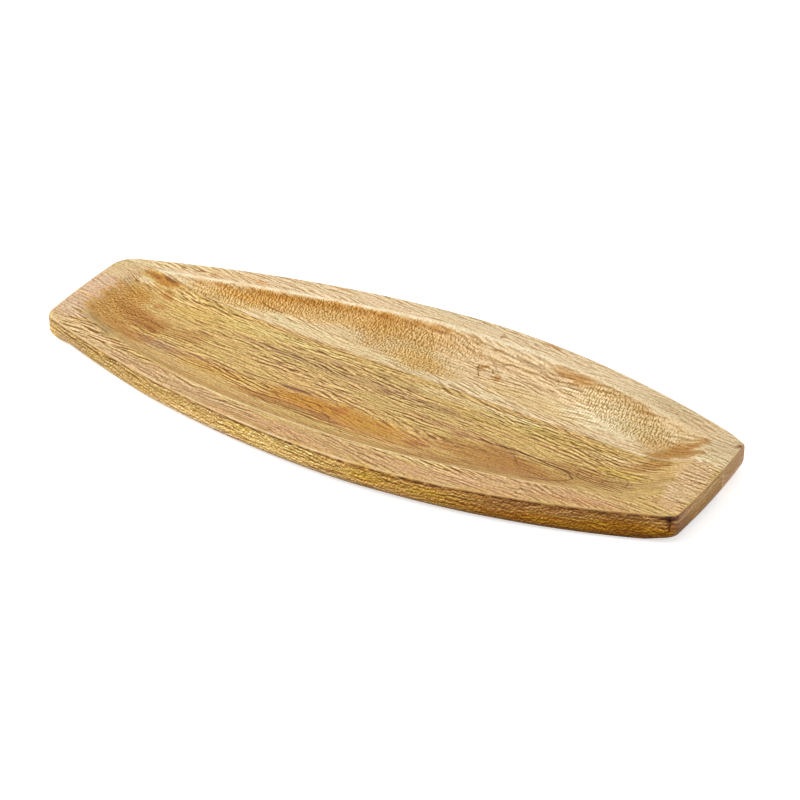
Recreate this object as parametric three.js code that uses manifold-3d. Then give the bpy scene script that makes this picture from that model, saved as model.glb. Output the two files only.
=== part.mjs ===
// Wooden boat-shaped platter: two boards glued edge to edge, shaped as one long tray with a dished hollow.
// Millimetres. +X runs along the platter, +Y across it and +Z up, away from the table.
// The origin is on the underside, in the middle of the length and of the width.

import * as THREE from 'three';
import { mergeVertices } from 'three/addons/utils/BufferGeometryUtils.js';
import Module from 'manifold-3d';

// Outside of the platter, seen from above
const length = 452;
const width = 182;
const thickness = 20;
const widestAt = 22.5; // the widest place lies this far right of the middle
const endReach = { farLeft: 42.7, farRight: 45.4, nearRight: 45.2, nearLeft: 42 }; // half widths of the ends
const sideFullness = 1.87; // power of the side curves, where 2 would be a parabola
const endBow = { left: 1.3, right: 1.7 }; // the ends bow outwards by this much
const rightEndLean = 0.03; // the right end isn't quite square to the length
const cornerRun = { farLeft: 10.6, farRight: 3, nearRight: 3.2, nearLeft: 8 };

// Edges of the outside
const rimRound = 0.7; // the top outer edge is eased by sanding
const leftRimRound = 3.2; // more at the left end
const cornerRub = 2.6; // and more again where the far right corner is rubbed down
const cornerRubReach = 7;
// The lower edge is rolled under by these radii, along the length
const sideRounds = [
  { at: -222, round: 16 },
  { at: -130, round: 9 },
  { at: 60, round: 9.9 },
  { at: 180, round: 5.6 },
  { at: 222, round: 5.2 },
];
const endRound = 8.9;
const endFade = 14; // an end's own edges give way to the sides' over this distance from the end
const underCornerRun = 12; // the underside's corners are this much rounder than the outside's

// Hollow: the rim is the flat left between the outside and the hollow, measured across or along the platter
const rimFar = { left: 12.8, middle: 16.3, right: 19.3 };
const rimNear = { left: 22.3, middle: 19.7, right: 15.4 };
const rimEnds = { left: 18.6, right: 22 };
const hollowRightLean = 0.08; // the hollow's right end isn't quite square to the length
const hollowWidestAt = 11;
const hollowFullness = { farLeft: 1.4, farRight: 2.2, nearRight: 1.68, nearLeft: 2.35 };
const hollowCornerRun = { farLeft: 9, farRight: 12, nearRight: 16, nearLeft: 13 };
const hollowDepth = 10.5;
const wallRun = 40; // the wall curves down to the flat floor over this distance
const endWallRun = 46;
const dishPower = 3; // the wall starts steep and flattens out towards the floor
const floorEndReach = 12;
const floorCornerRun = 8;

// Boards, and the cured glue between them
const seamAtRightEnd = 10.5; // across the platter, where the seam meets the right end
const seamAngle = THREE.MathUtils.degToRad(-4);
const glueFilm = 0.2;
const glueClearance = 0.05; // left on each side of the film

// Fineness of the faceted surface
const sideSteps = 34;
const endSteps = 10;
const cornerSteps = 5;
const roundSteps = 5;
const rimSteps = 2;
const dishSteps = 9;
const dishCrowding = 1.5; // the steps lie closer together near the edge, where the wall is steeper
const mergeDistance = 1e-5;

const finishes = {
  farBoard: { color: '#e0c08c', roughness: 0.55, metalness: 0 },
  nearBoard: { color: '#c99b57', roughness: 0.55, metalness: 0 },
  glue: { color: '#b98a4a', roughness: 0.4, metalness: 0 },
};

const wasm = await Module();
wasm.setup();

// An outline has two long sides, each full in the middle, and two ends. Each side holds its half width
// in the middle, and its half width and its curve's power at either end.
function sideY(outline, side, x) {
  const end = x > outline.widestAt ? 'right' : 'left';
  const reach = (x - outline.widestAt) / (outline[end] - outline.widestAt);
  return side.middle - (side.middle - side[end].reach) * reach ** side[end].power;
}

function endX(outline, end, y) {
  const side = y > 0 ? outline.far : outline.near;
  const bow = outline.bow[end] * (1 - (y / side[end].reach) ** 2);
  return outline[end] + outline.lean[end] * y + (end === 'right' ? bow : -bow);
}

// A corner is a curve that leaves both edges at the given run before the place where they would meet.
function cornerCurve(outline, end, sideSign, run) {
  const side = sideSign > 0 ? outline.far : outline.near;
  const tipY = sideSign * side[end].reach;
  const tip = new THREE.Vector2(endX(outline, end, tipY), tipY);
  const alongX = tip.x + (end === 'right' ? -run : run);
  const alongY = tip.y - sideSign * run;
  const onSide = new THREE.Vector2(alongX, sideSign * sideY(outline, side, alongX));
  const onEnd = new THREE.Vector2(endX(outline, end, alongY), alongY);
  return new THREE.QuadraticBezierCurve(onSide, tip, onEnd);
}

// The closed outline as points, clockwise from the far left corner. The counts are always the same,
// so that two outlines can be joined point to point.
function outlinePoints(outline) {
  const corner = {
    farLeft: cornerCurve(outline, 'left', 1, outline.corners.farLeft),
    farRight: cornerCurve(outline, 'right', 1, outline.corners.farRight),
    nearRight: cornerCurve(outline, 'right', -1, outline.corners.nearRight),
    nearLeft: cornerCurve(outline, 'left', -1, outline.corners.nearLeft),
  };
  const alongSide = (sign, from, to) => {
    const side = sign > 0 ? outline.far : outline.near;
    return Array.from({ length: sideSteps }, (_, step) => {
      const x = THREE.MathUtils.lerp(from.x, to.x, step / sideSteps);
      return new THREE.Vector2(x, sign * sideY(outline, side, x));
    });
  };
  const alongEnd = (end, from, to) =>
    Array.from({ length: endSteps }, (_, step) => {
      const y = THREE.MathUtils.lerp(from.y, to.y, step / endSteps);
      return new THREE.Vector2(endX(outline, end, y), y);
    });
  const roundCorner = (curve, reversed) => {
    const points = curve.getPoints(cornerSteps);
    return (reversed ? points.reverse() : points).slice(0, -1);
  };
  return [
    ...alongSide(1, corner.farLeft.v0, corner.farRight.v0),
    ...roundCorner(corner.farRight, false),
    ...alongEnd('right', corner.farRight.v2, corner.nearRight.v2),
    ...roundCorner(corner.nearRight, true),
    ...alongSide(-1, corner.nearRight.v0, corner.nearLeft.v0),
    ...roundCorner(corner.nearLeft, false),
    ...alongEnd('left', corner.nearLeft.v2, corner.farLeft.v2),
    ...roundCorner(corner.farLeft, true),
  ];
}

// Each point of an outline moved inwards, square to the outline, by its own distance.
function insetPoints(points, distances) {
  const count = points.length;
  return points.map((point, index) => {
    const before = points[(index + count - 1) % count];
    const after = points[(index + 1) % count];
    const along = after.clone().sub(before).normalize();
    return new THREE.Vector2(point.x + along.y * distances[index], point.y - along.x * distances[index]);
  });
}

function ringAt(points, heights) {
  return points.map((point, index) => new THREE.Vector3(point.x, point.y, heights[index]));
}

// The right end's bow peaks this far past its middle, because the end isn't square.
const leanPeak = (rightEndLean * endReach.farRight) ** 2 / (4 * endBow.right);

const outside = {
  left: -length / 2 + endBow.left,
  right: length / 2 - endBow.right - leanPeak,
  widestAt,
  bow: endBow,
  lean: { left: 0, right: rightEndLean },
  far: {
    middle: width / 2,
    left: { reach: endReach.farLeft, power: sideFullness },
    right: { reach: endReach.farRight, power: sideFullness },
  },
  near: {
    middle: width / 2,
    left: { reach: endReach.nearLeft, power: sideFullness },
    right: { reach: endReach.nearRight, power: sideFullness },
  },
  corners: cornerRun,
};

// The hollow's edge lies a rim's width inside the outside.
const hollowLeft = -length / 2 + rimEnds.left;
const hollowRight = length / 2 - rimEnds.right;

function hollowSide(side, rim, powerLeft, powerRight) {
  return {
    middle: side.middle - rim.middle,
    left: { reach: sideY(outside, side, hollowLeft) - rim.left, power: powerLeft },
    right: { reach: sideY(outside, side, hollowRight) - rim.right, power: powerRight },
  };
}

const hollowEdge = {
  left: hollowLeft,
  right: hollowRight,
  widestAt: hollowWidestAt,
  bow: { left: 0, right: 0 },
  lean: { left: 0, right: hollowRightLean },
  far: hollowSide(outside.far, rimFar, hollowFullness.farLeft, hollowFullness.farRight),
  near: hollowSide(outside.near, rimNear, hollowFullness.nearLeft, hollowFullness.nearRight),
  corners: hollowCornerRun,
};

// The flat floor begins where the wall has run out.
function floorSide(side) {
  return {
    middle: side.middle - wallRun,
    left: { reach: floorEndReach, power: side.left.power },
    right: { reach: floorEndReach, power: side.right.power },
  };
}

const floorEdge = {
  left: hollowLeft + endWallRun,
  right: hollowRight - endWallRun,
  widestAt: hollowWidestAt,
  bow: { left: 0, right: 0 },
  lean: { left: 0, right: 0 },
  far: floorSide(hollowEdge.far),
  near: floorSide(hollowEdge.near),
  corners: {
    farLeft: floorCornerRun,
    farRight: floorCornerRun,
    nearRight: floorCornerRun,
    nearLeft: floorCornerRun,
  },
};

// The outside with rounder corners, which the underside's edge is set in from
function rounderCorners(outline) {
  const rounder = Object.entries(outline.corners).map(([name, run]) => [name, run + underCornerRun]);
  return { ...outline, corners: Object.fromEntries(rounder) };
}

// 1 on an end and 0 on the sides, fading round the corners
function onEnd(point) {
  const end = point.x > 0 ? 'right' : 'left';
  const fromEnd = Math.abs(endX(outside, end, point.y) - point.x);
  return 1 - THREE.MathUtils.smoothstep(fromEnd, 0, endFade);
}

// How far the lower edge is rolled under at a point of the outside
function lowerRound(point) {
  const beyond = sideRounds.findIndex((station) => station.at > point.x);
  const next = beyond < 0 ? sideRounds.length - 1 : Math.max(beyond, 1);
  const [before, after] = [sideRounds[next - 1], sideRounds[next]];
  const share = THREE.MathUtils.clamp((point.x - before.at) / (after.at - before.at), 0, 1);
  const sideRound = THREE.MathUtils.lerp(before.round, after.round, share);
  return THREE.MathUtils.lerp(sideRound, endRound, onEnd(point));
}

// How far the top edge is rounded at a point of the outside
function upperRound(point) {
  const endRimRound = point.x > 0 ? rimRound : leftRimRound;
  const corner = new THREE.Vector2(outside.right, endReach.farRight);
  const rub = cornerRub * Math.exp(-((point.distanceTo(corner) / cornerRubReach) ** 2));
  return THREE.MathUtils.lerp(rimRound, endRimRound, onEnd(point)) + rub;
}

// The skin of the whole platter as rings, from the flat underside, round the outside, over the rim
// and down the hollow's wall to the floor.
function skinRings() {
  const outer = outlinePoints(outside);
  const lower = outer.map(lowerRound);
  const upper = outer.map(upperRound);
  const under = insetPoints(outlinePoints(rounderCorners(outside)), lower);
  const rings = [];
  for (let step = 0; step <= roundSteps; step += 1) {
    const angle = (Math.PI / 2) * (step / roundSteps);
    const points = under.map((point, index) => point.clone().lerp(outer[index], Math.sin(angle)));
    rings.push(ringAt(points, lower.map((round) => round * (1 - Math.cos(angle)))));
  }
  for (let step = 0; step <= rimSteps; step += 1) {
    const angle = (Math.PI / 2) * (step / rimSteps);
    const insets = upper.map((round) => round * (1 - Math.cos(angle)));
    const heights = upper.map((round) => thickness - round * (1 - Math.sin(angle)));
    rings.push(ringAt(insetPoints(outer, insets), heights));
  }
  const same = (value) => outer.map(() => value);
  const edge = outlinePoints(hollowEdge);
  const floor = outlinePoints(floorEdge);
  for (let step = 0; step <= dishSteps; step += 1) {
    const share = (step / dishSteps) ** dishCrowding;
    const depth = hollowDepth * (1 - (1 - share) ** dishPower);
    const points = edge.map((point, index) => point.clone().lerp(floor[index], share));
    rings.push(ringAt(points, same(thickness - depth)));
  }
  return rings;
}

// Rings joined side by side, and closed by a fan of faces over the first and over the last
function solidFromRings(rings) {
  const count = rings[0].length;
  const positions = rings.flat().flatMap((point) => [point.x, point.y, point.z]);
  const faces = [];
  const underCentre = rings.length * count;
  const floorCentre = underCentre + 1;
  const lastRing = (rings.length - 1) * count;
  positions.push(0, 0, rings[0][0].z, 0, 0, rings[rings.length - 1][0].z);
  for (let index = 0; index < count; index += 1) {
    const next = (index + 1) % count;
    for (let low = 0; low < lastRing; low += count) {
      const high = low + count;
      faces.push(low + index, high + index, low + next);
      faces.push(low + next, high + index, high + next);
    }
    faces.push(underCentre, index, next);
    faces.push(floorCentre, lastRing + next, lastRing + index);
  }
  const geometry = new THREE.BufferGeometry();
  geometry.setAttribute('position', new THREE.Float32BufferAttribute(positions, 3));
  geometry.setIndex(faces);
  return geometry;
}

function toManifold(geometry) {
  const bare = geometry.clone();
  bare.deleteAttribute('normal');
  bare.deleteAttribute('uv');
  const merged = mergeVertices(bare, mergeDistance);
  const mesh = new wasm.Mesh({
    numProp: 3,
    vertProperties: new Float32Array(merged.attributes.position.array),
    triVerts: new Uint32Array(merged.index.array),
  });
  return new wasm.Manifold(mesh);
}

function toGeometry(solid) {
  const mesh = solid.getMesh();
  const geometry = new THREE.BufferGeometry();
  geometry.setAttribute('position', new THREE.BufferAttribute(mesh.vertProperties, 3));
  geometry.setIndex(new THREE.BufferAttribute(mesh.triVerts, 1));
  geometry.computeVertexNormals();
  return geometry;
}

// A block that lies along the seam, past both ends of the platter, between two distances from the seam
function seamBlock(from, to) {
  const blockLength = 2 * (length + width);
  const blockHeight = 3 * thickness;
  const block = new THREE.BoxGeometry(blockLength, to - from, blockHeight);
  block.translate(0, (from + to) / 2, thickness / 2);
  block.rotateZ(seamAngle);
  block.translate(length / 2, seamAtRightEnd, 0);
  return toManifold(block);
}

function woodPiece(name, solid, finish) {
  const mesh = new THREE.Mesh(toGeometry(solid), new THREE.MeshStandardMaterial(finish));
  mesh.name = name;
  return mesh;
}

const blank = toManifold(solidFromRings(skinRings()));
const boardFace = glueFilm / 2 + glueClearance;
const farBoard = blank.intersect(seamBlock(boardFace, width));
const nearBoard = blank.intersect(seamBlock(-width, -boardFace));
const film = blank.intersect(seamBlock(-glueFilm / 2, glueFilm / 2));

const platter = new THREE.Group();
platter.add(woodPiece('far_board', farBoard, finishes.farBoard));
platter.add(woodPiece('near_board', nearBoard, finishes.nearBoard));
platter.add(woodPiece('glue_line', film, finishes.glue));

export default platter;
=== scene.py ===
import bmesh
import bpy
import numpy as np
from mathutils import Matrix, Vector


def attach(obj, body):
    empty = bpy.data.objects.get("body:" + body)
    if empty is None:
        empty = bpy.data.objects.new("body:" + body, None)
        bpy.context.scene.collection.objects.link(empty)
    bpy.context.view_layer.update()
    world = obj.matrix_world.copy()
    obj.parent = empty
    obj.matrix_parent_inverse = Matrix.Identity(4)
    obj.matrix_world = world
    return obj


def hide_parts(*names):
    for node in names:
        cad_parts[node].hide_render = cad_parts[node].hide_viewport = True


# Wooden boat-shaped platter: a pale and a brown board glued edge to edge, hollowed, sanded and oiled. The
# scene is in metres, in the CAD model's frame: +X along the platter, +Y across it and +Z up. The shapes are
# worked out in millimetres.

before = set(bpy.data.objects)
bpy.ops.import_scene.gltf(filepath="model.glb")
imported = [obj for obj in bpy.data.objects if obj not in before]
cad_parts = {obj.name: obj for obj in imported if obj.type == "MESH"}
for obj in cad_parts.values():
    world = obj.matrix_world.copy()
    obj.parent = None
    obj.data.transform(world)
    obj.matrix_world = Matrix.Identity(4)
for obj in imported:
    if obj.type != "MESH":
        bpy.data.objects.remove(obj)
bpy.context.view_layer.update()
scene = bpy.context.scene
mm = 0.001
print("frame loaded")

platter = {
    "length": 452,
    "width": 182,
    "thickness": 20,
    "widestAt": 22.5,  # right of the middle
    "endReach": {"farLeft": 42.7, "farRight": 45.4, "nearRight": 45.2, "nearLeft": 42},
    "sideFullness": 1.87,  # power of the side curves
    "endBow": {"left": 1.3, "right": 1.7},
    "rightEndLean": 0.03,
    "cornerRun": {"farLeft": 10.6, "farRight": 3, "nearRight": 3.2, "nearLeft": 8},
    "spare": 0.05,  # the skin is kept this far inside the blank
    "rimRound": 1.0,  # eased top outer edge
    "leftRimRound": 2.8,
    "cornerRub": 2.6,  # worn off the top of the far right corner
    "cornerRubReach": 7,
    "sideRoundAt": (-222, -130, 60, 180, 222),  # the lower edge is rolled under by these radii
    "sideRound": (16, 9, 9.9, 5.6, 5.2),
    "endRound": 8.9,
    "endFade": 14,  # an end's own edges give way to the sides' over this distance
    "underCornerRun": 12,  # the underside's corners are this much rounder
}
hollow = {
    "rimFar": {"left": 12.8, "middle": 16.3, "right": 19.3},
    "rimNear": {"left": 22.3, "middle": 19.7, "right": 15.4},
    "rimEnds": {"left": 18.6, "right": 22},
    "rightEndLean": 0.08,
    "widestAt": 11,
    "fullness": {"farLeft": 1.4, "farRight": 2.2, "nearRight": 1.68, "nearLeft": 2.35},
    "cornerRun": {"farLeft": 9, "farRight": 12, "nearRight": 16, "nearLeft": 13},
    "depth": 10.5,
    "wallRun": 40,
    "endWallRun": 46,
    "dishPower": 3,
    "floorEndReach": 12,
    "floorCornerRun": 8,
    "edgeEase": 1.3,  # the hollow's edge is rubbed round over about this width
    "floorAway": 20,  # the distance from the hollow's edge grows by this over the floor
    "wellAway": 60,  # stands for that distance where it doesn't matter
    "rimOuter": -8,  # short of this distance, the skin counts as outside
}
seam = {"atRightEnd": 10.5, "angle": np.radians(-4), "film": 0.2, "clearance": 0.05}
# Points along the outline's parts, rings on the skin's parts, and how the rings crowd together
mesh = {
    "side": 300, "end": 64, "corner": 14,
    "under": 8, "round": 10, "wall": 13, "arris": 6, "rim": 14, "dish": 50, "floor": 60,
    "wallCrowding": 1.6, "rimCrowding": 0.7, "dishCrowding": 1.5,
}


def sideY(outline, side, x):
    # half width at x: the middle's half width less a power of how far x is towards the end
    toRight = x > outline["widestAt"]
    end = np.where(toRight, outline["right"], outline["left"])
    reach = np.where(toRight, side["right"][0], side["left"][0])
    power = np.where(toRight, side["right"][1], side["left"][1])
    share = (x - outline["widestAt"]) / (end - outline["widestAt"])
    return side["middle"] - (side["middle"] - reach) * share**power


def endX(outline, end, y):
    # x of an end at y: its place in the middle, its lean and its bow, a parabola
    reach = np.where(y > 0, outline["far"][end][0], outline["near"][end][0])
    bow = outline["bow"][end] * (1 - (y / reach) ** 2)
    return outline[end] + outline["lean"][end] * y + (bow if end == "right" else -bow)


def cornerPoints(outline, name, count):
    # a quadratic curve from the side to the end, with its tip where the two edges would meet
    end = "left" if "Left" in name else "right"
    sign = 1 if "far" in name else -1
    side = outline["far"] if sign > 0 else outline["near"]
    run = outline["corners"][name]
    tipY = sign * side[end][0]
    tip = np.array([endX(outline, end, tipY), tipY])
    x = tip[0] + (-run if end == "right" else run)
    y = tipY - sign * run
    onSide = np.array([x, sign * sideY(outline, side, x)])
    onEnd = np.array([endX(outline, end, y), y])
    t = np.linspace(0, 1, count + 1)[:, None]
    return (1 - t) ** 2 * onSide + 2 * t * (1 - t) * tip + t**2 * onEnd


def outlinePoints(outline):
    # far side, right end, near side and left end with the corners between them, clockwise from above
    corners = {name: cornerPoints(outline, name, mesh["corner"]) for name in outline["corners"]}

    def alongSide(sign, start, stop):
        side = outline["far"] if sign > 0 else outline["near"]
        x = np.linspace(start[0], stop[0], mesh["side"], endpoint=False)
        return np.stack([x, sign * sideY(outline, side, x)], 1)

    def alongEnd(end, start, stop):
        y = np.linspace(start[1], stop[1], mesh["end"], endpoint=False)
        return np.stack([endX(outline, end, y), y], 1)

    return np.concatenate([
        alongSide(1, corners["farLeft"][0], corners["farRight"][0]),
        corners["farRight"][:-1],
        alongEnd("right", corners["farRight"][-1], corners["nearRight"][-1]),
        corners["nearRight"][::-1][:-1],
        alongSide(-1, corners["nearRight"][0], corners["nearLeft"][0]),
        corners["nearLeft"][:-1],
        alongEnd("left", corners["nearLeft"][-1], corners["farLeft"][-1]),
        corners["farLeft"][::-1][:-1],
    ])


def inwards(points):
    # unit vectors square to the outline, pointing into the platter
    along = np.roll(points, -1, 0) - np.roll(points, 1, 0)
    along /= np.linalg.norm(along, axis=1, keepdims=True)
    return np.stack([along[:, 1], -along[:, 0]], 1)


def smooth(low, high, value):
    # 0 below low and 1 above high, with an S-shaped curve between them
    share = np.clip((value - low) / (high - low), 0, 1)
    return share**2 * (3 - 2 * share)


def bell(value, centre, reach):
    # 1 at the centre, falling off to both sides as a Gaussian of the distance over the reach
    return np.exp(-(((value - centre) / reach) ** 2))


halfLength = platter["length"] / 2
# the right end's bow peaks this far past its middle, because the end isn't square
leanPeak = (platter["rightEndLean"] * platter["endReach"]["farRight"]) ** 2
leanPeak /= 4 * platter["endBow"]["right"]
unbent = {"left": 0, "right": 0}
# The outlines of the outside, of the hollow's edge and of the floor at the wall's foot. Each holds both
# ends, and for each side its half width in the middle, and its half width and curve's power at either end.
outside = {
    "left": -halfLength + platter["endBow"]["left"],
    "right": halfLength - platter["endBow"]["right"] - leanPeak,
    "widestAt": platter["widestAt"],
    "bow": platter["endBow"],
    "lean": {"left": 0, "right": platter["rightEndLean"]},
    "corners": platter["cornerRun"],
}
for sideName in ("far", "near"):
    outside[sideName] = {
        "middle": platter["width"] / 2,
        "left": (platter["endReach"][sideName + "Left"], platter["sideFullness"]),
        "right": (platter["endReach"][sideName + "Right"], platter["sideFullness"]),
    }
edge = {
    "left": -halfLength + hollow["rimEnds"]["left"],
    "right": halfLength - hollow["rimEnds"]["right"],
    "widestAt": hollow["widestAt"],
    "bow": unbent,
    "lean": {"left": 0, "right": hollow["rightEndLean"]},
    "corners": hollow["cornerRun"],
}
foot = {
    "left": edge["left"] + hollow["endWallRun"],
    "right": edge["right"] - hollow["endWallRun"],
    "widestAt": hollow["widestAt"],
    "bow": unbent,
    "lean": unbent,
    "corners": {name: hollow["floorCornerRun"] for name in hollow["cornerRun"]},
}
for sideName, rim in (("far", hollow["rimFar"]), ("near", hollow["rimNear"])):
    side, fullness = outside[sideName], hollow["fullness"]
    edge[sideName] = {
        "middle": side["middle"] - rim["middle"],
        "left": (sideY(outside, side, edge["left"]) - rim["left"], fullness[sideName + "Left"]),
        "right": (sideY(outside, side, edge["right"]) - rim["right"], fullness[sideName + "Right"]),
    }
    foot[sideName] = {
        "middle": edge[sideName]["middle"] - hollow["wallRun"],
        "left": (hollow["floorEndReach"], edge[sideName]["left"][1]),
        "right": (hollow["floorEndReach"], edge[sideName]["right"][1]),
    }


def onEnd(points):
    # 1 on an end and 0 on the sides, fading round the corners
    x, y = points.T
    end = np.where(x > 0, endX(outside, "right", y), endX(outside, "left", y))
    return 1 - smooth(0, platter["endFade"], np.abs(end - x))


def lowerRound(points):
    # how far the lower edge is rolled under: read off along the sides, blended to the ends' own value
    sideRound = np.interp(points[:, 0], platter["sideRoundAt"], platter["sideRound"])
    return sideRound + (platter["endRound"] - sideRound) * onEnd(points)


def upperRound(points):
    # how far the top edge is rounded: one value, more at the left end and at the rubbed corner
    x, y = points.T
    endExtra = np.where(x > 0, 0, platter["leftRimRound"] - platter["rimRound"])
    fromCorner = np.hypot(x - outside["right"], y - platter["endReach"]["farRight"])
    rub = platter["cornerRub"] * bell(fromCorner, 0, platter["cornerRubReach"])
    return platter["rimRound"] + endExtra * onEnd(points) + rub


def softNoise(points, size, seed, waves=24):
    # a sum of plane waves with seeded directions and phases, about -1 to 1; size is the usual wavelength
    rng = np.random.default_rng(seed)
    turn = rng.normal(size=(waves, points.shape[-1]))
    waveNumber = 2 * np.pi / size * rng.uniform(0.6, 1.6, (waves, 1))
    turn *= waveNumber / np.linalg.norm(turn, axis=1, keepdims=True)
    phase = rng.uniform(0, 2 * np.pi, waves)
    return np.sin(points @ turn.T + phase).sum(-1) / np.sqrt(waves / 2) / 2


def skinRings():
    # The platter's skin as rings of points: from the middle of the underside out to the rolled edge, a
    # quarter ellipse, up the side, over the rim, and down the wall, a power curve, to the middle of the
    # floor. With each point goes its distance from the hollow's edge, negative on the rim.
    outer = outlinePoints(outside)
    square = inwards(outer)
    lower, upper = lowerRound(outer), upperRound(outer)
    outer = outer + square * platter["spare"]
    rounder = {name: run + platter["underCornerRun"] for name, run in platter["cornerRun"].items()}
    under = outlinePoints({**outside, "corners": rounder})
    under = under + inwards(under) * lower[:, None]
    inner = outlinePoints(edge)
    floor = outlinePoints(foot)
    top = platter["thickness"]
    rings = []

    def ring(points, heights, fromHollow=-hollow["wellAway"]):
        # one value for the whole ring or one for each of its points
        level, away = (np.broadcast_to(value, len(points)) for value in (heights, fromHollow))
        rings.append(np.column_stack([points, level, away]))

    for share in np.linspace(0, 1, mesh["under"], endpoint=False)[1:]:
        ring(under * share, 0)
    for angle in np.linspace(0, np.pi / 2, mesh["round"]):
        ring(under + (outer - under) * np.sin(angle), lower * (1 - np.cos(angle)))
    for share in 1 - np.linspace(1, 0, mesh["wall"])[1:] ** mesh["wallCrowding"]:
        ring(outer, lower + (top - upper - lower) * share)
    for angle in np.linspace(0, np.pi / 2, mesh["arris"])[1:]:
        ring(outer + square * (upper * (1 - np.cos(angle)))[:, None], top - upper * (1 - np.sin(angle)))
    rimStart = outer + square * upper[:, None]
    run = np.linalg.norm(floor - inner, axis=1)
    rimRun = np.linalg.norm(inner - rimStart, axis=1)

    def dishHeight(distance):
        # the wall starts where a softened ramp of the distance from the hollow's edge leaves zero
        eased = (distance + np.sqrt(distance**2 + hollow["edgeEase"] ** 2)) / 2
        share = np.clip(eased / run, 0, 1)
        return top - hollow["depth"] * (1 - (1 - share) ** hollow["dishPower"])

    atStart = top - dishHeight(-rimRun)
    for share in np.linspace(0, 1, mesh["rim"], endpoint=False)[1:] ** mesh["rimCrowding"]:
        away = -rimRun * (1 - share)
        ring(rimStart + (inner - rimStart) * share, dishHeight(away) + atStart * (1 - share), away)
    for share in np.linspace(0, 1, mesh["dish"]) ** mesh["dishCrowding"]:
        ring(inner + (floor - inner) * share, dishHeight(run * share), run * share)
    for share in np.linspace(1, 0, mesh["floor"], endpoint=False)[1:]:
        ring(floor * share, top - hollow["depth"], run + hollow["floorAway"] * (1 - share))
    return np.array(rings)


# the first ring of the rolled edge, of the rim and of the dish
ringIndex = {"round": mesh["under"] - 1}
ringIndex["rim"] = ringIndex["round"] + mesh["round"] + mesh["wall"] - 1 + mesh["arris"] - 1
ringIndex["dish"] = ringIndex["rim"] + mesh["rim"] - 1
# How high the swellings are and how far apart, and where the sander ripples lie
handWork = {
    "dish": 0.2, "dishSize": 46, "dishFine": 0.05, "dishFineSize": 15, "side": 0.14, "sideSize": 34,
    "edgeFade": 8, "ripple": 0.035, "ripplePitch": 3.1, "rippleLean": 0.1,
    "rippleAt": (118, 44), "rippleReach": (22, 17),
}


def sanded(rings):
    # Low swellings left by sanding by hand: the dish undulates by two soft noises, the sides are dented
    # inwards by one, and on the far wall a few sine ripples run across. Nothing grows past the blank.
    moved = rings.copy()
    flat = rings[..., :2]
    level = np.arange(len(rings))[:, None]
    inDish = (level >= ringIndex["dish"]) * smooth(0, handWork["edgeFade"], rings[..., 3])
    swell = softNoise(flat, handWork["dishSize"], 3) * handWork["dish"]
    swell += softNoise(flat, handWork["dishFineSize"], 4) * handWork["dishFine"]
    fromRipples = (flat - handWork["rippleAt"]) / handWork["rippleReach"]
    rippled = np.exp(-(fromRipples**2).sum(-1))
    leaning = flat[..., 0] + handWork["rippleLean"] * flat[..., 1]
    ripple = np.sin(2 * np.pi * leaning / handWork["ripplePitch"])
    moved[..., 2] += inDish * (swell + rippled * ripple * handWork["ripple"])
    onSide = (level >= ringIndex["round"]) & (level < ringIndex["rim"])
    dent = np.clip(softNoise(rings[..., :3], handWork["sideSize"], 5) * 0.5 + 0.5, 0, 1) * handWork["side"]
    towards = -flat / np.linalg.norm(flat, axis=-1, keepdims=True)
    moved[..., :2] += towards * (onSide * dent)[..., None]
    return moved


def platterSkin():
    # the rings joined side by side, with a pole in the middle of the underside and one in the floor
    rings = sanded(skinRings())
    levels, count = rings.shape[:2]
    wellAway = hollow["wellAway"]
    poles = [[0, 0, 0, -wellAway], [0, 0, rings[-1, :, 2].mean(), wellAway]]
    points = np.concatenate([rings.reshape(-1, 4), poles])
    index = np.arange(levels * count).reshape(levels, count)
    turned = np.roll(index, -1, 1)
    quads = np.stack([index[:-1], index[1:], turned[1:], turned[:-1]], -1).reshape(-1, 4)
    underFan = np.stack([np.full(count, levels * count), index[0], turned[0]], -1)
    floorFan = np.stack([np.full(count, levels * count + 1), turned[-1], index[-1]], -1)
    faces = quads.tolist() + underFan.tolist() + floorFan.tolist()
    skin = bpy.data.meshes.new("skin")
    skin.from_pydata((points[:, :3] * mm).tolist(), [], faces)
    away = skin.attributes.new("fromHollow", "FLOAT", "POINT")
    away.data.foreach_set("value", points[:, 3].astype(np.float32))
    return skin


def placed(name, data):
    # a new object at the origin, in the scene
    thing = bpy.data.objects.new(name, data)
    scene.collection.objects.link(thing)
    return thing


cutting = {
    "onPlane": 1e-7,  # metres from the plane that still count as on it
    "skinCorners": 8,  # no face of the skin has more corners, and a planed face has far more
}


def cutBoard(name, skin, low, high):
    # keeps what lies between two distances from the seam, and closes the planed faces
    shape = bmesh.new()
    shape.from_mesh(skin)
    start = Vector((halfLength * mm, seam["atRightEnd"] * mm, 0))
    across = Vector((-np.sin(seam["angle"]), np.cos(seam["angle"]), 0))
    for distance, direction in ((low, -1), (high, 1)):
        if distance is None:
            continue
        everything = shape.verts[:] + shape.edges[:] + shape.faces[:]
        cut = bmesh.ops.bisect_plane(
            shape, geom=everything, plane_co=start + across * distance * mm, plane_no=across * direction,
            dist=cutting["onPlane"], clear_outer=True,
        )
        opening = [part for part in cut["geom_cut"] if isinstance(part, bmesh.types.BMEdge)]
        bmesh.ops.holes_fill(shape, edges=opening)
    bmesh.ops.recalc_face_normals(shape, faces=shape.faces)
    for face in shape.faces:
        face.smooth = len(face.verts) <= cutting["skinCorners"]
    planed = [face for face in shape.faces if not face.smooth]
    bmesh.ops.triangulate(shape, faces=planed)
    board = bpy.data.meshes.new(name)
    shape.to_mesh(board)
    shape.free()
    return placed(name, board)


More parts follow.
